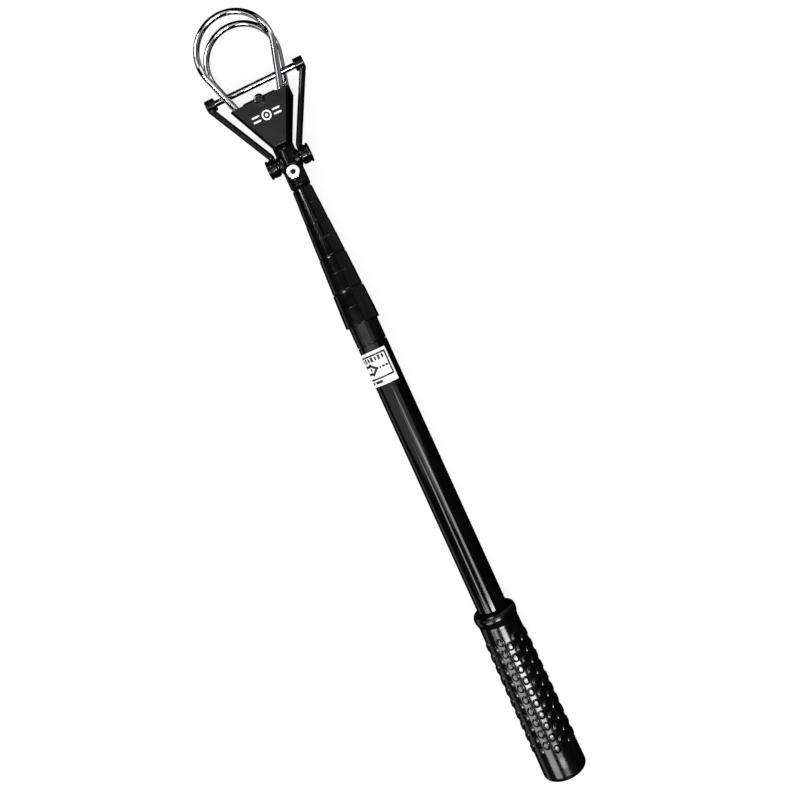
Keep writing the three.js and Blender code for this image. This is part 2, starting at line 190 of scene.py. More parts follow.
def head_plastic():
    """Smooth black plastic; the wedge's two flat faces have a fine matt grain."""
    s = Shader("charcoal_plastic", (0.0015, 0.0015, 0.0016), 0.2, IOR=1.5, Specular_IOR_Level=0.3)
    split = s.nodes.new("ShaderNodeSeparateXYZ")
    s.links.new(s.coords, split.inputs["Vector"])
    station = split.outputs["X"]
    foot = place(*FOOT_FACE)
    rise = s.math("MULTIPLY", s.math("SUBTRACT", station, foot.x), FACE_SLOPE)
    height = s.math("ABSOLUTE", s.math("SUBTRACT", split.outputs["Z"], AXIS_Z), 0.0)
    above = s.math("SUBTRACT", s.math("SUBTRACT", height, foot.z - AXIS_Z), rise)
    on_face = s.remap(above, 0.0, 1.0, from_low=-0.35 * MM, from_high=-0.1 * MM)
    past_foot = s.remap(station, 0.0, 1.0, from_low=foot.x - 1 * MM, from_high=foot.x + 1.5 * MM)
    grained = s.math("MULTIPLY", on_face, past_foot)
    grain = s.noise(0.28, detail=3, roughness=0.6)
    cloud = s.noise(8, detail=4, offset=6)
    extra_roughness = s.math("MULTIPLY", grained, 0.22)
    rough = s.math("ADD", s.remap(cloud, 0.13, 0.22), extra_roughness)
    s.links.new(rough, s.shader.inputs["Roughness"])
    mottled = s.math("ADD", s.math("MULTIPLY", grain, 0.4), s.math("MULTIPLY", cloud, 0.6))
    dusty_black = (0.0055, 0.0055, 0.006)
    s.vary_color(s.math("MULTIPLY", mottled, grained), dusty_black, from_low=0.25, from_high=0.65)
    s.bump(s.math("MULTIPLY", grain, grained), 0.01)
    s.bump(s.noise(5, detail=2, offset=8), 0.015)
    return s.material


def chrome():
    s = Shader("chrome", (0.86, 0.87, 0.89), 0.04, metallic=1.0)
    haze = s.noise(3.5, detail=5)
    s.vary_roughness(haze, 0.02, 0.07)
    s.vary_color(s.noise(5, detail=4, offset=3), (0.80, 0.81, 0.84))
    s.bump(s.noise(1.8, detail=2, offset=5), 0.0012)
    return s.material


def plain_steel():
    s = Shader("plain_steel", (0.5, 0.5, 0.52), 0.28, metallic=1.0)
    s.vary_roughness(s.noise(1.2, detail=5), 0.2, 0.38)
    s.vary_color(s.noise(2.5, detail=4, offset=2), (0.38, 0.38, 0.4))
    s.bump(s.noise(0.3, detail=2, offset=4), 0.002)
    return s.material


def soft_vinyl():
    s = Shader("black_vinyl", DEEP_BLACK, 0.14, IOR=1.52)
    cloud = s.noise(7, detail=4)
    fine = s.noise(0.4, detail=3, offset=5)
    s.vary_roughness(s.math("MULTIPLY", s.math("ADD", cloud, fine), 0.5), 0.11, 0.2)
    s.vary_color(cloud, WORN_BLACK)
    s.bump(s.noise(2.6, detail=2, offset=2), 0.012)
    s.bump(fine, 0.0015)
    return s.material


def label_film():
    s = Shader("white_film", (0.74, 0.74, 0.73), 0.38)
    s.vary_roughness(s.noise(2.5, detail=4), 0.32, 0.46)
    s.vary_color(s.noise(2.2, detail=5, offset=3), (0.64, 0.64, 0.63))
    s.bump(s.noise(0.6, detail=3, offset=6), 0.003)
    return s.material


def print_ink(name, color):
    s = Shader(name, color, 0.45)
    s.vary_roughness(s.noise(0.8, detail=4), 0.38, 0.55)
    s.vary_color(s.noise(0.35, detail=3, offset=2), tuple(min(1, c * 1.25 + 0.01) for c in color))
    s.bump(s.noise(0.2, detail=2, offset=3), 0.001)
    return s.material


def acetal():
    s = Shader("acetal", (0.78, 0.77, 0.72), 0.45, Subsurface_Weight=0.1)
    s.vary_roughness(s.noise(3, detail=3), 0.38, 0.52)
    s.vary_color(s.noise(5, detail=4, offset=2), (0.70, 0.69, 0.64))
    s.bump(s.noise(0.5, detail=2, offset=5), 0.003)
    return s.material


MATERIALS = {
    "black_tube": lacquered_tube(),
    "black_gloss": gloss_plastic(),
    "arm_plastic": arm_plastic(),
    "head_plastic": head_plastic(),
    "chrome": chrome(),
    "steel": plain_steel(),
    "grip_rubber": soft_vinyl(),
    "label": label_film(),
    "bush": acetal(),
}
BLACK_INK = print_ink("black_ink", (0.004, 0.004, 0.0045))
WHITE_INK = print_ink("white_ink", (0.82, 0.82, 0.82))

for part in frame["record"]["subparts"]:
    cad = frame["nodes"][part["node"]]
    cad.data.materials.clear()
    cad.data.materials.append(MATERIALS[part["material_slot"]])


# ------------------------------------------------------------------ mesh helpers
def piece(name, points, faces, body, slot, replaces=(), material=None, sharp_deg=35):
    """A mesh object from points in millimetres, riding on a body."""
    mesh = bpy.data.meshes.new(name)
    mesh.from_pydata([place(*p) for p in points], [], faces)
    mesh.validate()
    mesh.materials.append(material or MATERIALS[slot])
    obj = bpy.data.objects.new(name, mesh)
    bpy.context.scene.collection.objects.link(obj)
    mesh.shade_smooth()
    if sharp_deg:
        mesh.set_sharp_from_angle(angle=math.radians(sharp_deg))
        weighted = obj.modifiers.new("even_normals", "WEIGHTED_NORMAL")
        weighted.keep_sharp = True
    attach(obj, body)
    if replaces:
        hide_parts(*replaces)
    return obj


def filleted(outline, closed):
    """Rounds the corners of an outline of (station, radius) or (station, radius, fillet) points."""
    arc_steps = 5
    count = len(outline)
    rounded = []
    for i, corner in enumerate(outline):
        here = np.array(corner[:2], float)
        fillet = corner[2] if len(corner) > 2 else 0.0
        if not fillet or (not closed and i in (0, count - 1)):
            rounded.append(tuple(here))
            continue
        before = np.array(outline[i - 1][:2], float) - here
        after = np.array(outline[(i + 1) % count][:2], float) - here
        reach_before, reach_after = np.linalg.norm(before), np.linalg.norm(after)
        before, after = before / reach_before, after / reach_after
        half_turn = math.acos(np.clip(before @ after, -1, 1)) / 2
        cut = min(fillet / math.tan(half_turn), 0.49 * reach_before, 0.49 * reach_after)
        start, end = here + before * cut, here + after * cut
        for k in range(arc_steps + 1):
            t = k / arc_steps
            rounded.append(tuple((1 - t) ** 2 * start + 2 * t * (1 - t) * here + t ** 2 * end))
    return rounded


def turned(name, outline, body, slot, axis="x", at=(0, 0, 0), closed=True, sides=120, **options):
    """An outline turned round an axis.

    A closed outline makes a ring. An open one starts and ends on the axis.
    """
    profile = filleted(outline, closed)
    points, rings = [], []
    for station, radius in profile:
        ring = []
        turns = 1 if radius < 1e-6 else sides
        for k in range(turns):
            angle = 2 * math.pi * k / sides
            across, up = radius * math.cos(angle), radius * math.sin(angle)
            turns_about = {
                "x": (station, across, up),
                "y": (up, station, across),
                "z": (across, up, station),
            }
            local = turns_about[axis]
            ring.append(len(points))
            points.append(tuple(a + b for a, b in zip(at, local)))
        rings.append(ring)
    faces = []
    pairs = list(zip(rings, rings[1:] + ([rings[0]] if closed else [])))
    for low, high in (pairs if closed else pairs[:len(rings) - 1]):
        for k in range(sides):
            n = (k + 1) % sides
            corners = [low[k % len(low)], low[n % len(low)], high[n % len(high)], high[k % len(high)]]
            corners = list(dict.fromkeys(corners))
            if len(corners) > 2:
                faces.append(corners)
    return piece(name, points, outward(points, faces), body, slot, **options)


def outward(points, faces):
    """The faces, all turned to point out of the closed mesh."""
    p = np.array(points)
    volume = 0.0
    for face in faces:
        for b, c in zip(face[1:], face[2:]):
            volume += np.dot(p[face[0]], np.cross(p[b], p[c]))
    return faces if volume > 0 else [face[::-1] for face in faces]


def swept(name, path, radius, body, slot, sides=28, **options):
    """Round wire along a list of points, with closed ends."""
    path = [Vector(p) for p in path]
    points, faces = [], []
    side = None
    for i, centre in enumerate(path):
        ahead = (path[min(i + 1, len(path) - 1)] - path[max(i - 1, 0)]).normalized()
        if side is None:
            side = ahead.orthogonal().normalized()
        side = (side - ahead * side.dot(ahead)).normalized()
        other = ahead.cross(side)
        for k in range(sides):
            angle = 2 * math.pi * k / sides
            points.append(tuple(centre + (side * math.cos(angle) + other * math.sin(angle)) * radius))
    for i in range(len(path) - 1):
        for k in range(sides):
            n = (k + 1) % sides
            faces.append([i * sides + k, i * sides + n, (i + 1) * sides + n, (i + 1) * sides + k])
    faces.append(list(range(sides))[::-1])
    faces.append([(len(path) - 1) * sides + k for k in range(sides)])
    return piece(name, points, outward(points, faces), body, slot, **options)


# ------------------------------------------------------------------ moulded shapes as distance fields
def soft_union(a, b, blend):
    share = np.clip(0.5 + 0.5 * (b - a) / blend, 0, 1)
    return b + (a - b) * share - blend * share * (1 - share)


def soft_both(a, b, blend):
    return -soft_union(-a, -b, blend)


def soft_cut(a, b, blend):
    return soft_both(a, -b, blend)


def wall(grid, normal, point):
    """Distance past a plane."""
    normal = np.array(normal, float)
    normal /= np.linalg.norm(normal)
    return sum((g - p) * n for g, p, n in zip(grid, point, normal))


def disc(grid, axis, at, low, high, radius, edge):
    """A cylinder along an axis, between two heights, with rounded rims."""
    along = "xyz".index(axis)
    across = [grid[i] - at[i] for i in range(3) if i != along]
    out = np.hypot(*across) - (radius - edge)
    end = np.abs(grid[along] - (low + high) / 2) - ((high - low) / 2 - edge)
    return np.hypot(np.maximum(out, 0), np.maximum(end, 0)) + np.minimum(np.maximum(out, end), 0) - edge


def block(grid, low, high, edge):
    q = [np.abs(g - (a + b) / 2) - ((b - a) / 2 - edge) for g, a, b in zip(grid, low, high)]
    outside = np.sqrt(sum(np.maximum(v, 0) ** 2 for v in q))
    return outside + np.minimum(np.maximum(np.maximum(q[0], q[1]), q[2]), 0) - edge


def stick(grid, start, end, radius):
    """A rod with round ends between two points."""
    start, end = np.array(start, float), np.array(end, float)
    line = end - start
    t = sum((g - s) * d for g, s, d in zip(grid, start, line)) / (line @ line)
    t = np.clip(t, 0, 1)
    return np.sqrt(sum((g - s - t * d) ** 2 for g, s, d in zip(grid, start, line))) - radius


def moulded(name, field, low, high, pitch, body, slot, **options):
    """The surface where a distance field is zero."""
    band = 3 * pitch
    axes = [np.arange(a - band, b + band, pitch, dtype=np.float32) for a, b in zip(low, high)]
    grid = np.meshgrid(*axes, indexing="ij")
    volume = openvdb.FloatGrid(band)
    volume.copyFromArray(np.clip(field(grid), -band, band).astype(np.float32))
    points, quads = volume.convertToQuads(0.0)
    start = np.array([a[0] for a in axes])
    points = points * pitch + start
    a, b, c, d = (points[quads[:, k]] for k in range(4))
    inside_out = (np.cross(b - a, c - a) * a).sum() + (np.cross(c - a, d - a) * a).sum() < 0
    faces = quads[:, ::-1] if inside_out else quads
    return piece(name, points.tolist(), faces.tolist(), body, slot, sharp_deg=0, **options)


# ------------------------------------------------------------------ the pole
TUBE_WALL = 0.7
TUBE_RADIUS = {n: stations(f"tube_{n}")[1].z for n in (1, 2, 3, 4)}
TUBE_RADIUS[5] = stations("rod_5")[1].z


def tube(number, body):
    low, high = stations(f"tube_{number}")
    radius = high.z
    outline = [
        (low.x, radius - TUBE_WALL, 0.2), (low.x, radius, 0.2),
        (high.x, radius, 0.45), (high.x, radius - TUBE_WALL, 0.2),
    ]
    return turned(f"tube_{number}_shell", outline, body, "black_tube", replaces=[f"tube_{number}"])


def rod():
    low, high = stations("rod_5")
    outline = [
        (low.x, high.z - TUBE_WALL, 0.2), (low.x, high.z, 0.2),
        (high.x, high.z, 0.2), (high.x, high.z - TUBE_WALL, 0.2),
    ]
    return turned("rod_shell", outline, "head", "black_tube", replaces=["rod_5"])


LIP_CHAMFER = 0.9  # length of the narrow chamfer at a collar's upper edge
LIP_DROP = LIP_CHAMFER * 0.25
STEP_HALF = 0.05  # half the height of the step round the middle of each collar
OUTER_TAPER = 0.85  # how much a collar's radius shrinks from its lower edge to its upper edge
COLLAR_TAPER = {2: 0.85, 3: 0.97, 4: 1.0}


def step_points(station, radius):
    """The shallow step round a collar's middle, from its wider side to its narrower one."""
    return [(station, radius + STEP_HALF, 0.3), (station + 0.5, radius - STEP_HALF, 0.3)]


def lip_points(end, top, bore, bore_fillet):
    """A collar's upper edge: the narrow chamfer, then the flat end down to the bore."""
    return [(end - LIP_CHAMFER, top, 0.1), (end - 0.1, top - LIP_DROP, 0.1), (end, bore, bore_fillet)]


def outer_collar():
    """The stem carries on the tube's line, and the cup flares out of it."""
    low, high = stations("collar_1")
    stem_from = stations("tube_1")[1].x + 0.4
    cup_length = 21.5
    cup_from = high.x - cup_length
    bottom, top = high.z, high.z - OUTER_TAPER
    bore, spigot = 7.95, 8.45
    step_at = cup_from + cup_length * 0.5
    slope = (bottom - top) / cup_length
    outline = [
        (low.x, bore, 0.15), (low.x, spigot, 0.15),
        (stem_from, spigot), (stem_from, TUBE_RADIUS[1], 0.5),
        (cup_from - 0.1, TUBE_RADIUS[1], 0.15),
        (cup_from, bottom - 0.5, 0.3), (cup_from + 0.35, bottom, 0.45),
        *step_points(step_at, bottom - slope * (step_at - cup_from)),
        *lip_points(high.x, top, bore, 0.3),
    ]
    return turned("collar_1_cup", outline, "handle", "black_gloss", replaces=["collar_1"])


def collar(number, taper, tube_radius, next_radius):
    """A tapered cup with a shallow step half-way up and a chamfered lip."""
    low, high = stations(f"collar_{number}")
    bottom, top = high.z, high.z - taper
    cup, bore, lip_length = tube_radius + 0.1, next_radius + 0.2, 2.5
    outline = [
        (low.x, cup, 0.15), (low.x, bottom, 0.45),
        *step_points((low.x + high.x) / 2, (bottom + top) / 2),
        *lip_points(high.x, top, bore, 0.25),
        (high.x - lip_length, bore), (high.x - lip_length, cup),
    ]
    body = f"section_{number}"
    return turned(f"collar_{number}_cup", outline, body, "black_gloss", replaces=[f"collar_{number}"])


tube(1, "handle")
outer_collar()
for number, taper in COLLAR_TAPER.items():
    tube(number, f"section_{number}")
    collar(number, taper, TUBE_RADIUS[number], TUBE_RADIUS[number + 1])
rod()


# ------------------------------------------------------------------ studded grip
STUD_COLUMNS = 16
STUD_ROWS = 10
STUD_PITCH = 7.28
STUD_HALF_LENGTH = 2.65
STUD_HALF_WIDTH = 2.0
STUD_HEIGHT = 0.6
STUD_EDGE = 0.34  # the outer share of a stud's reach, over which its side rises
SIDE_SHARE, CROWN_SHARE = 0.82, 0.18  # how much of its height comes from its side and from its crown
STUD_FIRST = {0: 20.1, 1: 23.9}  # station of the stud nearest the butt, in even and odd columns
STUD_TURN = math.radians(6.3)  # how far column 0 lies from the head's front, towards -Y
STUDDED = (17.0, 92.5)  # stations between which the skin is finely divided
# Station and radius of the skin between the studs. It tapers to the neck under the flange.
SKIN = [(8.0, 13.45), (14.0, 13.3), (38.0, 13.2), (50.0, 13.1), (76.0, 12.75), (90.0, 12.45), (97.4, 12.28)]
VENT = 1.0  # radius of the hole in the butt


def grip_outline():
    """Station and radius of the grip's skin, from the butt's vent hole to the bore in the flange."""
    low, high = stations("grip")
    butt, butt_round = 13.5, 2.6
    neck_x, neck = SKIN[-1]
    bead_x, bead = 102.8, 13.4
    end_x, end_drop = high.x, 2.1
    skin = [(low.x, VENT), (low.x, butt - butt_round)]
    for a in np.linspace(0.1, math.pi / 2, 10):
        skin.append((low.x + butt_round * (1 - math.cos(a)), butt - butt_round * (1 - math.sin(a))))
    coarse = [*np.arange(3.5, STUDDED[0], 1.0), *np.arange(STUDDED[1] + 0.5, neck_x, 1.0), neck_x]
    fine = np.linspace(*STUDDED, 300)
    knots_x, knots_radius = zip(*SKIN)
    for x in sorted([*coarse, *fine]):
        skin.append((x, float(np.interp(x, (butt_round, *knots_x), (butt, *knots_radius)))))
    for t in np.linspace(0.06, 1, 16):
        skin.append((neck_x + (bead_x - neck_x) * t, neck + (bead - neck) * math.sin(t * math.pi / 2) ** 2))
    for a in np.linspace(0.12, math.pi / 2, 12):
        skin.append((bead_x + (end_x - bead_x) * math.sin(a), bead - end_drop * (1 - math.cos(a))))
    skin += [(end_x - 0.15, bead - end_drop - 0.5), (end_x - 0.9, TUBE_RADIUS[1] + 0.35)]
    return skin


def stud_rise(x, angle, radius):
    """Height of the nearest stud above the skin."""
    column_step = 2 * math.pi / STUD_COLUMNS
    turned_angle = angle + STUD_TURN
    column = round(turned_angle / column_step)
    across = (turned_angle - column * column_step) * radius / STUD_HALF_WIDTH
    first = STUD_FIRST[column % 2]
    row = min(max(round((x - first) / STUD_PITCH), 0), STUD_ROWS - 1)
    along = (x - first - row * STUD_PITCH) / STUD_HALF_LENGTH
    reach = math.hypot(across, along)
    if reach >= 1:
        return 0.0
    rise = min((1 - reach) / STUD_EDGE, 1.0)
    side = rise * rise * (3 - 2 * rise)
    crown = 1 - reach * reach
    return STUD_HEIGHT * (side * SIDE_SHARE + CROWN_SHARE * crown)


def studded_grip():
    skin = grip_outline()
    bore = TUBE_RADIUS[1] + 0.1
    floor_x = 3.9  # where the bore for the tube ends
    inner = [(skin[-1][0], bore), (floor_x, bore), (floor_x, VENT)]
    sides = STUD_COLUMNS * 20
    points, faces = [], []
    for x, radius in skin + inner:
        for k in range(sides):
            angle = 2 * math.pi * k / sides
            rise = stud_rise(x, angle, radius) if STUDDED[0] < x < STUDDED[1] else 0.0
            r = radius + rise
            points.append((x, r * math.sin(angle), r * math.cos(angle)))
    rings = len(skin) + len(inner)
    for i in range(rings):
        j = (i + 1) % rings
        for k in range(sides):
            n = (k + 1) % sides
            faces.append([i * sides + k, i * sides + n, j * sides + n, j * sides + k])
    return piece("studded_grip", points, outward(points, faces), "handle", "grip_rubber", replaces=["grip"])


studded_grip()


# ------------------------------------------------------------------ label, wrapped round the outer tube
LABEL_LOW, LABEL_HIGH = stations("label")
LABEL_FROM, LABEL_TO = LABEL_LOW.x, LABEL_HIGH.x
LABEL_EDGE_DEG = (-43.5, 125.0)  # round from the top of the tube, positive towards +Y
LABEL_RADIUS = TUBE_RADIUS[1] + 0.03
FILM = 0.09
INK_LAYERS = (0.002, 0.018)  # heights of the ink's underside and its top above the film


def wrapped(name, outline, radius, thickness, body, slot, **options):
    """A thin patch on the tube. outline gives the patch's lowest and highest arc at each station."""
    points, faces = [], []
    columns = 60
    up = columns + 1  # from a point to the one above it, in the outer layer
    row = 2 * up
    for x, low_deg, high_deg in outline:
        for layer in (radius, radius + thickness):
            for k in range(columns + 1):
                angle = math.radians(low_deg + (high_deg - low_deg) * k / columns)
                points.append((x, layer * math.sin(angle), layer * math.cos(angle)))
    for i in range(len(outline) - 1):
        for k in range(columns):
            a, b = i * row + k, (i + 1) * row + k
            faces.append([a, a + 1, b + 1, b])
            faces.append([a + up, b + up, b + up + 1, a + up + 1])
        for k in (0, columns):
            a, b = i * row + k, (i + 1) * row + k
            side = [a, b, b + up, a + up]
            faces.append(side if k == 0 else side[::-1])
    for i in (0, len(outline) - 1):
        for k in range(columns):
            a = i * row + k
            end = [a, a + up, a + up + 1, a + 1]
            faces.append(end if i == 0 else end[::-1])
    return piece(name, points, outward(points, faces), body, slot, **options)


def label_film_piece():
    """The label's film, with small rounded corners."""
    low, high = LABEL_EDGE_DEG
    corner = 0.25
    corner_deg = math.degrees(corner / LABEL_RADIUS)
    steps = 6
    bends = [math.pi / 2 * (k / steps) for k in range(steps + 1)]
    outline = []
    for a in bends:
        inset = corner_deg * (1 - math.sin(a))
        outline.append((LABEL_FROM + corner * (1 - math.cos(a)), low + inset, high - inset))
    for a in bends:
        inset = corner_deg * (1 - math.cos(a))
        outline.append((LABEL_TO - corner * (1 - math.sin(a)), low + inset, high - inset))
    return wrapped("label_film", outline, LABEL_RADIUS, FILM, "handle", "label", replaces=["label"])


def stroke(x1, arc1, x2, arc2, width):
    """A printed line between two points of the label, as rows across it that follow its curve."""
    spacing = 0.4
    steps = max(2, int(math.hypot(x2 - x1, arc2 - arc1) / spacing))
    across = np.array([-(arc2 - arc1), x2 - x1], float)
    across *= width / 2 / np.linalg.norm(across)
    rows = []
    for i in range(steps + 1):
        t = i / steps
        x, arc = x1 + (x2 - x1) * t, arc1 + (arc2 - arc1) * t
        rows.append([(x + across[0] * s, arc + across[1] * s) for s in (-1, 0, 1)])
    return rows


def dot(x, arc, radius_x, radius_arc):
    """A printed oval, as rows across it."""
    rows = []
    blunt_end = 0.98
    for t in np.linspace(-blunt_end, blunt_end, 9):
        half = math.sqrt(1 - t * t)
        rows.append([(x + radius_x * t, arc + radius_arc * half * s) for s in (-1, 0, 1)])
    return rows


def printed_on_label(name, marks):
    """All the label's ink as one thin mesh. Arc lengths run from the tube's top towards +Y."""
    base = LABEL_RADIUS + FILM
    points, faces = [], []
    for rows in marks:
        start = len(points)
        for height in INK_LAYERS:
            for row in rows:
                for x, arc in row:
                    angle = arc / base
                    radius = base + height
                    points.append((x, radius * math.sin(angle), radius * math.cos(angle)))
        count = len(rows)
        layer = count * 3
        for i in range(count - 1):
            for k in range(2):
                a, b = start + i * 3 + k, start + (i + 1) * 3 + k
                top = [a + layer, b + layer, b + layer + 1, a + layer + 1]
                bottom = [a, a + 1, b + 1, b]
                faces += [top, bottom]
        rim = [i * 3 for i in range(count)] + [(count - 1) * 3 + 1, (count - 1) * 3 + 2]
        rim += [i * 3 + 2 for i in range(count - 2, -1, -1)] + [1]
        for a, b in zip(rim, rim[1:] + rim[:1]):
            faces.append([start + b, start + a, start + a + layer, start + b + layer])
    return piece(name, points, faces, "handle", "label", material=BLACK_INK, sharp_deg=0)


def label_marks():
    """A frame, a row of plain marks, and a line drawing of a dashed stem with two prongs."""
    right = math.radians(LABEL_EDGE_DEG[0]) * LABEL_RADIUS
    left = math.radians(LABEL_EDGE_DEG[1]) * LABEL_RADIUS
    top, bottom = LABEL_TO - 2.3, LABEL_FROM + 4.6
    inset, line = 1.6, 1.05
    marks = [
        stroke(top, right + inset, top, left - inset, line),
        stroke(bottom, right + inset, bottom, left - inset, line),
        stroke(bottom - line / 2, right + inset, top + line / 2, right + inset, line),
        stroke(bottom - line / 2, left - inset, top + line / 2, left - inset, line),
    ]
    row, half_height = top - 2.3, 1.5
    arc, mark_pitch = right + 3.9, 2.35
    for i, width in enumerate((0.9, 1.5, 0.8, 1.7, 1.0, 1.5, 0.8, 1.7, 1.0)):
        if i % 2:
            marks.append(stroke(row - half_height, arc, row + half_height, arc, width))
        else:
            marks.append(dot(row, arc, 1.45, width * 0.8))
        arc += mark_pitch
    middle = (top + bottom) / 2 - 1.1
    stem, fork, spread = right + 2.6, right + 10.3, 3.6
    for start, end in ((0.0, 1.7), (2.2, 4.0), (4.5, 5.7), (6.2, fork - stem)):
        marks.append(stroke(middle, stem + start, middle, stem + end, 1.25))
    for side in (-1, 1):
        prong = middle + side * (spread - 1.3)
        marks.append(stroke(middle, fork - 0.2, middle + side * spread, fork + 4.2, 1.6))
        marks.append(stroke(prong, fork + 3.6, prong, fork + 8.7, 1.5))
    marks.append(dot(middle, fork + 4.0, 1.0, 0.8))
    foot = LABEL_FROM + 2.4
    marks.append(stroke(foot, right + 9.7, foot, right + 15.2, 1.6))
    marks.append(stroke(foot, right + 16.3, foot, right + 19.0, 1.4))
    return marks


label_film_piece()
printed_on_label("label_print", label_marks())


# ------------------------------------------------------------------ wedge head
NECK_LOW = stations("head_front")[0].x
PIN_LOW, PIN_HIGH = stations("pivot_pin")
PIVOT_X = (PIN_LOW.x + PIN_HIGH.x) / 2
RIVET_LOW, RIVET_HIGH = stations("rivet")
RIVET_X = (RIVET_LOW.x + RIVET_HIGH.x) / 2
RIVET_HEAD = (RIVET_HIGH.x - RIVET_LOW.x) / 2
SCREW_LOW, SCREW_HIGH = stations("head_screw")
SCREW_X = (SCREW_LOW.x + SCREW_HIGH.x) / 2
SCREW_HEAD = (SCREW_HIGH.x - SCREW_LOW.x) / 2
WIRE = 1.9

SIDE_SLOPE = (TOP_SIDE[1] - FOOT_SIDE[1]) / (WEDGE_TOP - WEDGE_FOOT)
BEVEL_NORMAL = np.cross(np.subtract(TOP_FACE, FOOT_FACE), np.subtract(TOP_SIDE, FOOT_FACE))
FRONT_FLARE = 0.05  # how far the wedge's sides spread for each unit of depth towards its front
CHAMFER_LENGTH, CHAMFER_DEPTH = 2.4, 2.9  # the steep chamfer below the flat face
WEDGE_END = WEDGE_TOP + 0.85
LIP_FROM, LIP_TOP = 430, 439.0  # the lip stands out of the wedge's end, between the hoops' legs
LIP_WIDTH, LIP_DEPTH, LIP_BEVEL = 10.9, 11.9, 0.9
NECK_RADIUS, NECK_TOP, NECK_CHAMFER = 6.35, 412, 1.3
BOSS_RADIUS = 5.4
PAD_HEIGHT = 13.0  # top of the round pad under the screw's head
ROD_SEAT = 397.1  # station where the bore for the rod ends
NUT_POCKET_RADIUS, NUT_POCKET_TOP = 2.75, -10.8
HOOP_ENTRY = 437.0  # where the wires come out of the head
# Inside the head each leg of a hoop bends in: steps along it, across it and in depth.
HOOP_ROOT = [(20, 9.7, 5.7), (13, 6.6, 3.7), (6, 3.0, 1.5)]


def face_height(x):
    """Height of the head's sloping front face above the pole's axis."""
    return FOOT_FACE[2] + (x - WEDGE_FOOT) * FACE_SLOPE


class Hoop:
    """A round wire loop with straight legs that lean in and go into the head."""

    def __init__(self, node, left_leg, right_leg):
        low, high = stations(node)
        self.node = node
        self.side = 1 if high.z + low.z > 0 else -1
        self.z = (high.z if self.side > 0 else -low.z) - WIRE
        self.radius = (high.y - low.y) / 2 - WIRE
        self.x = high.x - self.radius - WIRE
        self.y = (high.y + low.y) / 2
        self.entry = {1: left_leg, -1: right_leg}

    def lean(self, hand):
        """Slope of the leg on one side, so that it touches the loop."""
        along, across = self.x - HOOP_ENTRY, hand * self.y - self.entry[hand]
        return math.atan2(across, along) + math.asin(self.radius / math.hypot(along, across))

    def leg(self, hand, x):
        """Distance of that leg from the middle at a station outside the head."""
        return self.entry[hand] + (x - HOOP_ENTRY) * math.tan(self.lean(hand))

    def leg_points(self, hand, end):
        """One leg's line, from its hidden end to a station outside the head."""
        entry = self.entry[hand]
        points = []
        for back, inwards, deeper in HOOP_ROOT:
            points.append((HOOP_ENTRY - back, entry - inwards, self.z - deeper))
        for x in np.linspace(HOOP_ENTRY, end, 10):
            points.append((x, self.leg(hand, x), self.z))
        return [(x, hand * y, self.side * z) for x, y, z in points]

    def path(self):
        """The whole wire's line, from one hidden end to the other."""
        touch = {hand: self.x - self.radius * math.sin(self.lean(hand)) for hand in (1, -1)}
        points = self.leg_points(1, touch[1])
        bend = np.linspace(math.pi / 2 + self.lean(1), -math.pi / 2 - self.lean(-1), 97)
        for a in bend[1:-1]:
            x, y = self.x + self.radius * math.cos(a), self.y + self.radius * math.sin(a)
            points.append((x, y, self.side * self.z))
        return points + self.leg_points(-1, touch[-1])[::-1]


HOOPS = [Hoop("hoop_front", 15.0, 13.4), Hoop("hoop_back", 15.1, 14.5)]


def wedge_field(grid):
    """The wedge: a flat face, bevels and upright sides that spread towards its top."""
    x, y, z = grid
    flared = (x, np.abs(y) - FRONT_FLARE * z, np.abs(z))
    wedge = wall(flared, (-FACE_SLOPE, 0, 1), FOOT_FACE)
    for normal, point in (
        ((-SIDE_SLOPE, 1, 0), FOOT_SIDE),
        (BEVEL_NORMAL, FOOT_FACE),
        ((-CHAMFER_DEPTH, 0, CHAMFER_LENGTH), FOOT_FACE),
        ((1, 0, 0), (WEDGE_END, 0, 0)),
        ((-1, 0, 0), (WEDGE_FOOT - CHAMFER_LENGTH, 0, 0)),
    ):
        wedge = soft_both(wedge, wall(flared, normal, point), 0.4)
    return wedge


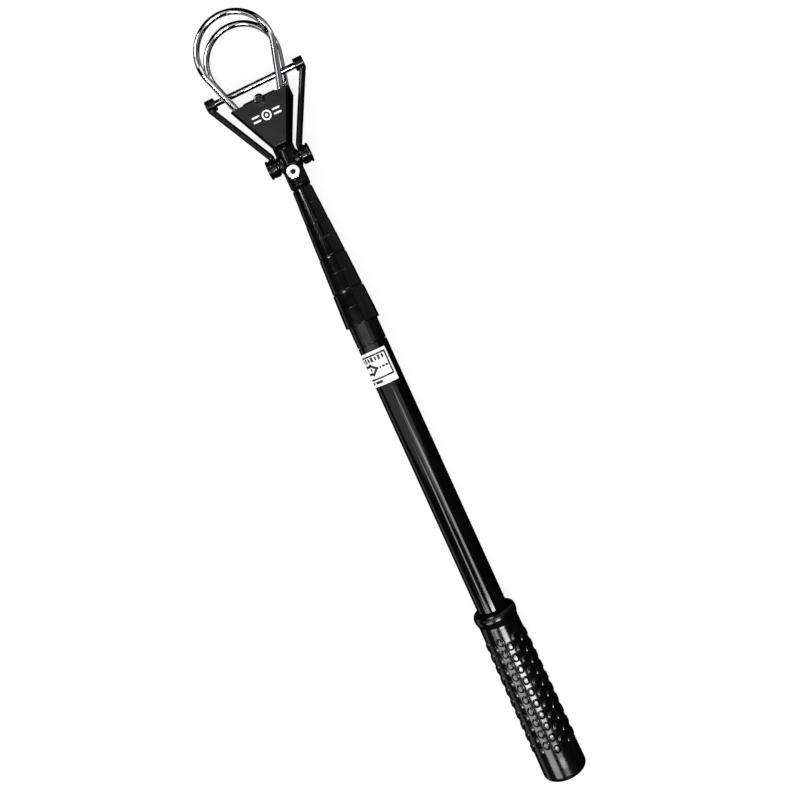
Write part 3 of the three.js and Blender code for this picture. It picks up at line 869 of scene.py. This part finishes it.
def head_field(grid):
    """Both halves of the head as one solid, with its bores, its rivet seats and the hoops' sockets."""
    x, y, z = grid
    quarter = (x, np.abs(y), np.abs(z))
    lip = block(quarter, (LIP_FROM, -LIP_WIDTH, -LIP_DEPTH), (LIP_TOP, LIP_WIDTH, LIP_DEPTH), 0.5)
    lip = soft_both(lip, wall(quarter, (1, 1, 0), (LIP_TOP - LIP_BEVEL, LIP_WIDTH, 0)), 0.4)
    neck = disc(grid, "x", (0, 0, 0), NECK_LOW, NECK_TOP, NECK_RADIUS, 0.4)
    neck = soft_both(neck, np.hypot(y, z) - NECK_RADIUS - (x - NECK_LOW - NECK_CHAMFER), 0.4)
    boss = disc(quarter, "y", (PIVOT_X, 0, 0), 2.4, 7.1, BOSS_RADIUS, 1.2)
    pad = disc(quarter, "z", (SCREW_X, 0, 0), -PAD_HEIGHT, PAD_HEIGHT, SCREW_HEAD - 0.2, 0.3)
    body = soft_union(wedge_field(grid), neck, 0.6)
    body = soft_union(body, boss, 0.5)
    body = soft_union(body, lip, 0.5)
    body = soft_union(body, pad, 0.5)
    seat = disc(quarter, "z", (RIVET_X, 0, 0), 5.3, 12, RIVET_HEAD + 0.35, 0.2)
    pin_bore = disc(quarter, "y", (PIVOT_X, 0, 0), -20, 20, 2.2, 0.1)
    rod_bore = disc(grid, "x", (0, 0, 0), NECK_LOW - 5, ROD_SEAT, TUBE_RADIUS[5] + 0.2, 0.1)
    screw_bore = disc(grid, "z", (SCREW_X, 0, 0), -20, 20, 1.6, 0.1)
    nut_pocket = disc(grid, "z", (SCREW_X, 0, 0), -20, NUT_POCKET_TOP, NUT_POCKET_RADIUS, 0.1)
    body = soft_cut(body, seat, 0.25)
    body = soft_cut(body, pin_bore, 0.2)
    body = soft_cut(body, rod_bore, 0.3)
    body = soft_cut(body, screw_bore, 0.2)
    body = soft_cut(body, nut_pocket, 0.2)
    for hoop in HOOPS:
        for hand in (1, -1):
            line = hoop.leg_points(hand, WEDGE_TOP + 8)
            for start, end in zip(line[:4], [*line[1:4], line[-1]]):
                body = soft_cut(body, stick(grid, start, end, WIRE + 0.12), 0.1)
    return body


def head_half(name, side, node):
    """The part of the head on one side of its middle plane, short of the seam."""
    low, high = stations(node)
    seam = 0.06

    def field(grid):
        return soft_both(head_field(grid), seam - side * grid[2], 0.5)

    return moulded(name, field, low, high, 0.3, "head", "head_plastic", replaces=[node])


def rivet():
    """A hollow rivet: a round-edged flange on each face, and a bore that narrows inside."""
    top = RIVET_HIGH.z
    shank, bore = 1.5, 1.0
    flange = 5.4
    upper = [
        (flange, shank), (flange, RIVET_HEAD, 0.15), (top - 0.15, RIVET_HEAD, 0.25),
        (top, RIVET_HEAD - 0.3, 0.2), (top, shank, 0.3), (top - 1.6, bore),
    ]
    lower = [(-p[0], *p[1:]) for p in reversed(upper)]
    return turned(
        "hollow_rivet", upper + lower, "head", "chrome",
        axis="z", at=(RIVET_X, 0, 0), sides=72, replaces=["rivet"],
    )


def screw():
    """The screw at the wedge's top edge, with a shallow dish in its head."""
    low, high = SCREW_LOW.z, SCREW_HIGH.z
    shank, under_head = 1.4, PAD_HEIGHT + 0.1
    outline = [
        (low, 0), (low, shank, 0.2), (under_head, shank),
        (under_head, SCREW_HEAD, 0.2), (high - 0.3, SCREW_HEAD, 0.3),
        (high, 1.9, 0.3), (high - 0.35, 1.65, 0.15), (high - 0.3, 0),
    ]
    return turned(
        "cap_screw", outline, "head", "black_gloss",
        axis="z", at=(SCREW_X, 0, 0), closed=False, sides=72, replaces=["head_screw"],
    )


def pivot_pin():
    low, high = PIN_LOW.y, PIN_HIGH.y
    radius = (PIN_HIGH.x - PIN_LOW.x) / 2
    outline = [(low, 0), (low, radius, 0.45), (high, radius, 0.45), (high, 0)]
    return turned(
        "pin", outline, "head", "steel",
        axis="y", at=(PIVOT_X, 0, 0), closed=False, sides=48, replaces=["pivot_pin"],
    )


def printed_ring(x, y, radius, width, sides=48):
    """Inner and outer corners of a ring printed on the front face."""
    edges = (radius - width / 2, radius + width / 2)
    rows = []
    for k in range(sides + 1):
        a = 2 * math.pi * k / sides
        rows.append([(x + r * math.cos(a), y + r * math.sin(a)) for r in edges])
    return rows


def printed_bar(x, y_from, y_to, width):
    """A bar with round ends printed on the front face, as rows along it."""
    steps = 10
    rows = []
    half = width / 2
    sign = 1 if y_to > y_from else -1
    for k in range(steps + 1):
        a = math.pi / 2 * k / steps
        y = y_from + sign * half * (1 - math.cos(a))
        rows.append([(x + s * half * math.sin(a), y) for s in (-1, 1)])
    for k in range(steps + 1):
        a = math.pi / 2 * (1 - k / steps)
        y = y_to - sign * half * (1 - math.cos(a))
        rows.append([(x + s * half * math.sin(a), y) for s in (-1, 1)])
    return rows


def printed_badge():
    """A plain pictogram on the head's front face: a ball between two pairs of bars."""
    x = 427.4
    gap, ink = 0.02, 0.03
    ring_radius, ring_width = 2.5, 0.9
    bar_offset, bar_from, bar_to, bar_width = 1.35, 4.1, 9.0, 1.0
    dot_of_ink = printed_ring(x, 0, ring_width / 2, ring_width, 24)
    marks = [printed_ring(x, 0, ring_radius, ring_width), dot_of_ink]
    for side in (-1, 1):
        for offset in (-bar_offset, bar_offset):
            marks.append(printed_bar(x + offset, side * bar_from, side * bar_to, bar_width))
    points, faces = [], []
    for rows in marks:
        start = len(points)
        for lift in (gap, gap + ink):
            for row in rows:
                points += [(px, py, face_height(px) + lift) for px, py in row]
        count = len(rows)
        layer = 2 * count
        for i in range(count - 1):
            a, b = start + 2 * i, start + 2 * (i + 1)
            faces.append([a + layer, a + layer + 1, b + layer + 1, b + layer])
            faces.append([a, b, b + 1, a + 1])
            faces.append([a, a + layer, b + layer, b])
            faces.append([a + 1, b + 1, b + 1 + layer, a + 1 + layer])
    return piece("face_print", points, faces, "head", "label", material=WHITE_INK, sharp_deg=0)


head_half("head_shell_front", 1, "head_front")
head_half("head_shell_back", -1, "head_back")
for hoop in HOOPS:
    swept(f"{hoop.node}_wire", hoop.path(), WIRE, "head", "chrome", replaces=[hoop.node])
rivet()
screw()
pivot_pin()
printed_badge()


# ------------------------------------------------------------------ sprung crossbar
BAR_LOW, BAR_HIGH = stations("crossbar")
BAR_X = (BAR_LOW.x + BAR_HIGH.x) / 2
BAR_RADIUS = (BAR_HIGH.x - BAR_LOW.x) / 2
EYE_FROM, EYE_END, EYE_RADIUS = 26.4, stations("arm_left")[1].y - 0.04, 3.85
ARM_FOOT, ARM_TIP, ARM_RADIUS = (403.5, 7.8, 0), (447.2, 30.55, 0), 1.95
HUB_INNER = 7.4  # the hub's face against the head
SPRING_ROOM, SPRING_RADIUS = 11.0, 3.9  # the space for the spring, open towards the head


def arm_field(grid):
    """One arm: a grooved hub on the pivot, a straight round arm and an eye for the bar."""
    pivot, bar = (PIVOT_X, 0, 0), (BAR_X, 0, 0)
    hub = disc(grid, "y", pivot, HUB_INNER, 12.3, 5.65, 1.3)
    core = disc(grid, "y", pivot, 8.0, 13.5, 5.1, 0.2)
    flange = disc(grid, "y", pivot, 12.55, 13.9, 5.9, 0.4)
    hub = soft_union(soft_union(hub, core, 0.15), flange, 0.15)
    eye = disc(grid, "y", bar, EYE_FROM, EYE_END, EYE_RADIUS, 0.45)
    body = soft_union(hub, stick(grid, ARM_FOOT, ARM_TIP, ARM_RADIUS), 0.8)
    body = soft_union(body, eye, 0.5)
    body = soft_both(body, wall(grid, (0, -1, 0), (0, HUB_INNER, 0)), 0.1)
    body = soft_both(body, wall(grid, (0, 1, 0), (0, EYE_END, 0)), 0.1)
    pin_bore = disc(grid, "y", pivot, 0, 20, 2.25, 0.1)
    spring_room = disc(grid, "y", pivot, 0, SPRING_ROOM, SPRING_RADIUS, 0.1)
    bar_bore = disc(grid, "y", bar, 20, BAR_HIGH.y + 0.2, BAR_RADIUS + 0.1, 0.1)
    for bore in (pin_bore, spring_room, bar_bore):
        body = soft_cut(body, bore, 0.25)
    return body


def arm(name, side, node):
    """The arm on one side: 1 is the left one, and -1 its mirror image."""
    low, high = stations(node)

    def field(grid):
        return arm_field((grid[0], side * grid[1], grid[2]))

    return moulded(name, field, low, high, 0.25, "bar", "arm_plastic", replaces=[node])


def crossbar():
    outline = [(BAR_LOW.y, 0), (BAR_LOW.y, BAR_RADIUS, 0.3), (BAR_HIGH.y, BAR_RADIUS, 0.3), (BAR_HIGH.y, 0)]
    return turned(
        "bar_rod", outline, "bar", "chrome",
        axis="y", at=(BAR_X, 0, 0), closed=False, sides=48, replaces=["crossbar"],
    )


def ease_edges(node, width=0.15):
    """Rounds the sharp edges of a CAD node that stays as it is."""
    edge = frame["nodes"][node].modifiers.new("edge", "BEVEL")
    edge.width = width * MM
    edge.segments = 2
    edge.limit_method = "ANGLE"


arm("arm_left_moulding", 1, "arm_left")
arm("arm_right_moulding", -1, "arm_right")
crossbar()
for node in ("head_nut", "butt_plug", "bush_2", "bush_3", "bush_4", "bush_5"):
    ease_edges(node)


# ------------------------------------------------------------------ floor, light and camera
def floor():
    """A plain pale floor just under the retriever. It glows white, and gloss doesn't mirror it."""
    reach, drop = 4.0, 0.0004
    corners = ((-reach, -reach), (reach, -reach), (reach, reach), (-reach, reach))
    mesh = bpy.data.meshes.new("floor")
    mesh.from_pydata([(x, y, -drop) for x, y in corners], [], [(0, 1, 2, 3)])
    obj = bpy.data.objects.new("floor", mesh)
    bpy.context.scene.collection.objects.link(obj)
    material = bpy.data.materials.new("pale_floor")
    material.use_nodes = True
    shader = material.node_tree.nodes["Principled BSDF"]
    shader.inputs["Base Color"].default_value = (0.16, 0.16, 0.16, 1)
    shader.inputs["Roughness"].default_value = 1.0
    shader.inputs["Specular IOR Level"].default_value = 0.0
    shader.inputs["Emission Color"].default_value = (1, 1, 1, 1)
    shader.inputs["Emission Strength"].default_value = 0.82
    mesh.materials.append(material)
    obj.visible_glossy = False


VIEW_ROLL = math.radians(5.0)  # the camera stands a little to the head's right
CAMERA_HEIGHT = 0.5266  # metres from the pole's axis
CAMERA_STATION = 282.7
POLE_LEAN = math.radians(24.44)  # the pole's lean in the picture
FOCAL_SHARE = 1.1  # focal length over the picture's width
SENSOR = 36.0
SHIFT = (0.0369, -0.0759)

# From the pole to the camera, to the camera's right, and along the pole towards the head.
away = Vector((0, -math.sin(VIEW_ROLL), math.cos(VIEW_ROLL)))
sideways = Vector((0, -math.cos(VIEW_ROLL), -math.sin(VIEW_ROLL)))
along = Vector((1, 0, 0))


def camera():
    data = bpy.data.cameras.new("camera")
    data.sensor_width = SENSOR
    data.lens = FOCAL_SHARE * SENSOR
    data.shift_x, data.shift_y = SHIFT
    data.clip_start = 0.01
    obj = bpy.data.objects.new("camera", data)
    bpy.context.scene.collection.objects.link(obj)
    right = sideways * math.cos(POLE_LEAN) - along * math.sin(POLE_LEAN)
    up = sideways * math.sin(POLE_LEAN) + along * math.cos(POLE_LEAN)
    turn = Matrix((right, up, away)).transposed().to_4x4()
    obj.matrix_world = Matrix.Translation(place(CAMERA_STATION, 0, 0) + away * CAMERA_HEIGHT) @ turn
    bpy.context.scene.camera = obj


def panel(name, station, angle_deg, distance, length, width, radiance, swing_deg=0.0):
    """A soft box that faces the pole, with its distance, length along the pole and width in metres.

    The angle runs round the pole from the camera's side, positive to the camera's right.
    """
    angle = math.radians(angle_deg)
    back = away * math.cos(angle) + sideways * math.sin(angle)
    data = bpy.data.lights.new(name, "AREA")
    data.shape = "RECTANGLE"
    data.size, data.size_y = length, width
    data.energy = radiance * math.pi * length * width
    obj = bpy.data.objects.new(name, data)
    bpy.context.scene.collection.objects.link(obj)
    turn = Matrix((along, back.cross(along), back)).transposed().to_4x4()
    swing = Matrix.Rotation(math.radians(swing_deg), 4, "Z")
    obj.matrix_world = Matrix.Translation(place(station, 0, 0) + back * distance) @ turn @ swing


def soft_boxes():
    """Most of these panels are mirrored in one stretch of the pole or the head, which the name gives."""
    panel("left_fill", 150, -22, 1.1, 0.34, 3.4, 0.65)
    panel("near_strip", -115, 3.5, 1.2, 0.37, 0.33, 6.0)
    panel("near_strip_end", 120, 0, 1.2, 0.1, 0.18, 4.5)
    panel("side_strip", -150, -38.5, 1.2, 0.4, 0.15, 6.0, swing_deg=-37)
    panel("grip_strip", -395, 1, 1.2, 0.21, 0.55, 26.0)
    panel("grip_strip_foot", -545, 1, 1.2, 0.09, 0.5, 5.0)
    panel("grip_strip_end", -640, 2, 1.2, 0.1, 0.45, 1.4)
    panel("grip_side_strip", -475, -46.5, 1.2, 0.36, 0.72, 6.5)
    panel("left_low", 0, -113, 1.1, 1.3, 0.4, 0.45)
    panel("right_fill", 1130, 70, 1.2, 1.6, 2.8, 0.17)
    panel("over_camera", 10, -12, 1.2, 0.24, 0.2, 1.3)
    panel("stem_fill", 306, -24, 1.2, 0.09, 1.5, 1.1)
    panel("head_top_left", 1020, -37, 1.2, 0.23, 0.95, 1.2)
    panel("head_top_right", 1000, 26, 1.2, 0.19, 1.45, 1.2)
    panel("screw_top", 790, -10, 1.2, 0.08, 0.08, 1.4)
    panel("neck_top", 665, -10, 1.2, 0.11, 0.13, 1.2)
    panel("collar_glint", 738, -33, 1.2, 0.05, 0.3, 34.0)
    panel("lip_glint", 1220, -34, 1.2, 0.22, 0.42, 22.0)


AMBIENT = 0.6  # the room's light on matt surfaces; gloss doesn't mirror the room
BACKDROP_EXTRA = 0.37  # how much brighter the camera sees it


def room():
    """A white world: strength is AMBIENT, none for a glossy ray, and more for a camera ray."""
    world = bpy.data.worlds.new("studio")
    world.use_nodes = True
    nodes, links = world.node_tree.nodes, world.node_tree.links
    background = nodes["Background"]
    ray = nodes.new("ShaderNodeLightPath")
    strength = nodes.new("ShaderNodeMath")
    strength.operation = "MULTIPLY_ADD"
    strength.inputs[1].default_value = -AMBIENT
    strength.inputs[2].default_value = AMBIENT
    links.new(ray.outputs["Is Glossy Ray"], strength.inputs[0])
    total = nodes.new("ShaderNodeMath")
    total.operation = "MULTIPLY_ADD"
    total.inputs[1].default_value = BACKDROP_EXTRA
    links.new(ray.outputs["Is Camera Ray"], total.inputs[0])
    links.new(strength.outputs["Value"], total.inputs[2])
    links.new(total.outputs["Value"], background.inputs["Strength"])
    background.inputs["Color"].default_value = (1, 1, 1, 1)
    bpy.context.scene.world = world
    bpy.context.scene.view_settings.view_transform = "Standard"
    bpy.context.scene.view_settings.look = "None"


floor()
camera()
soft_boxes()
room()
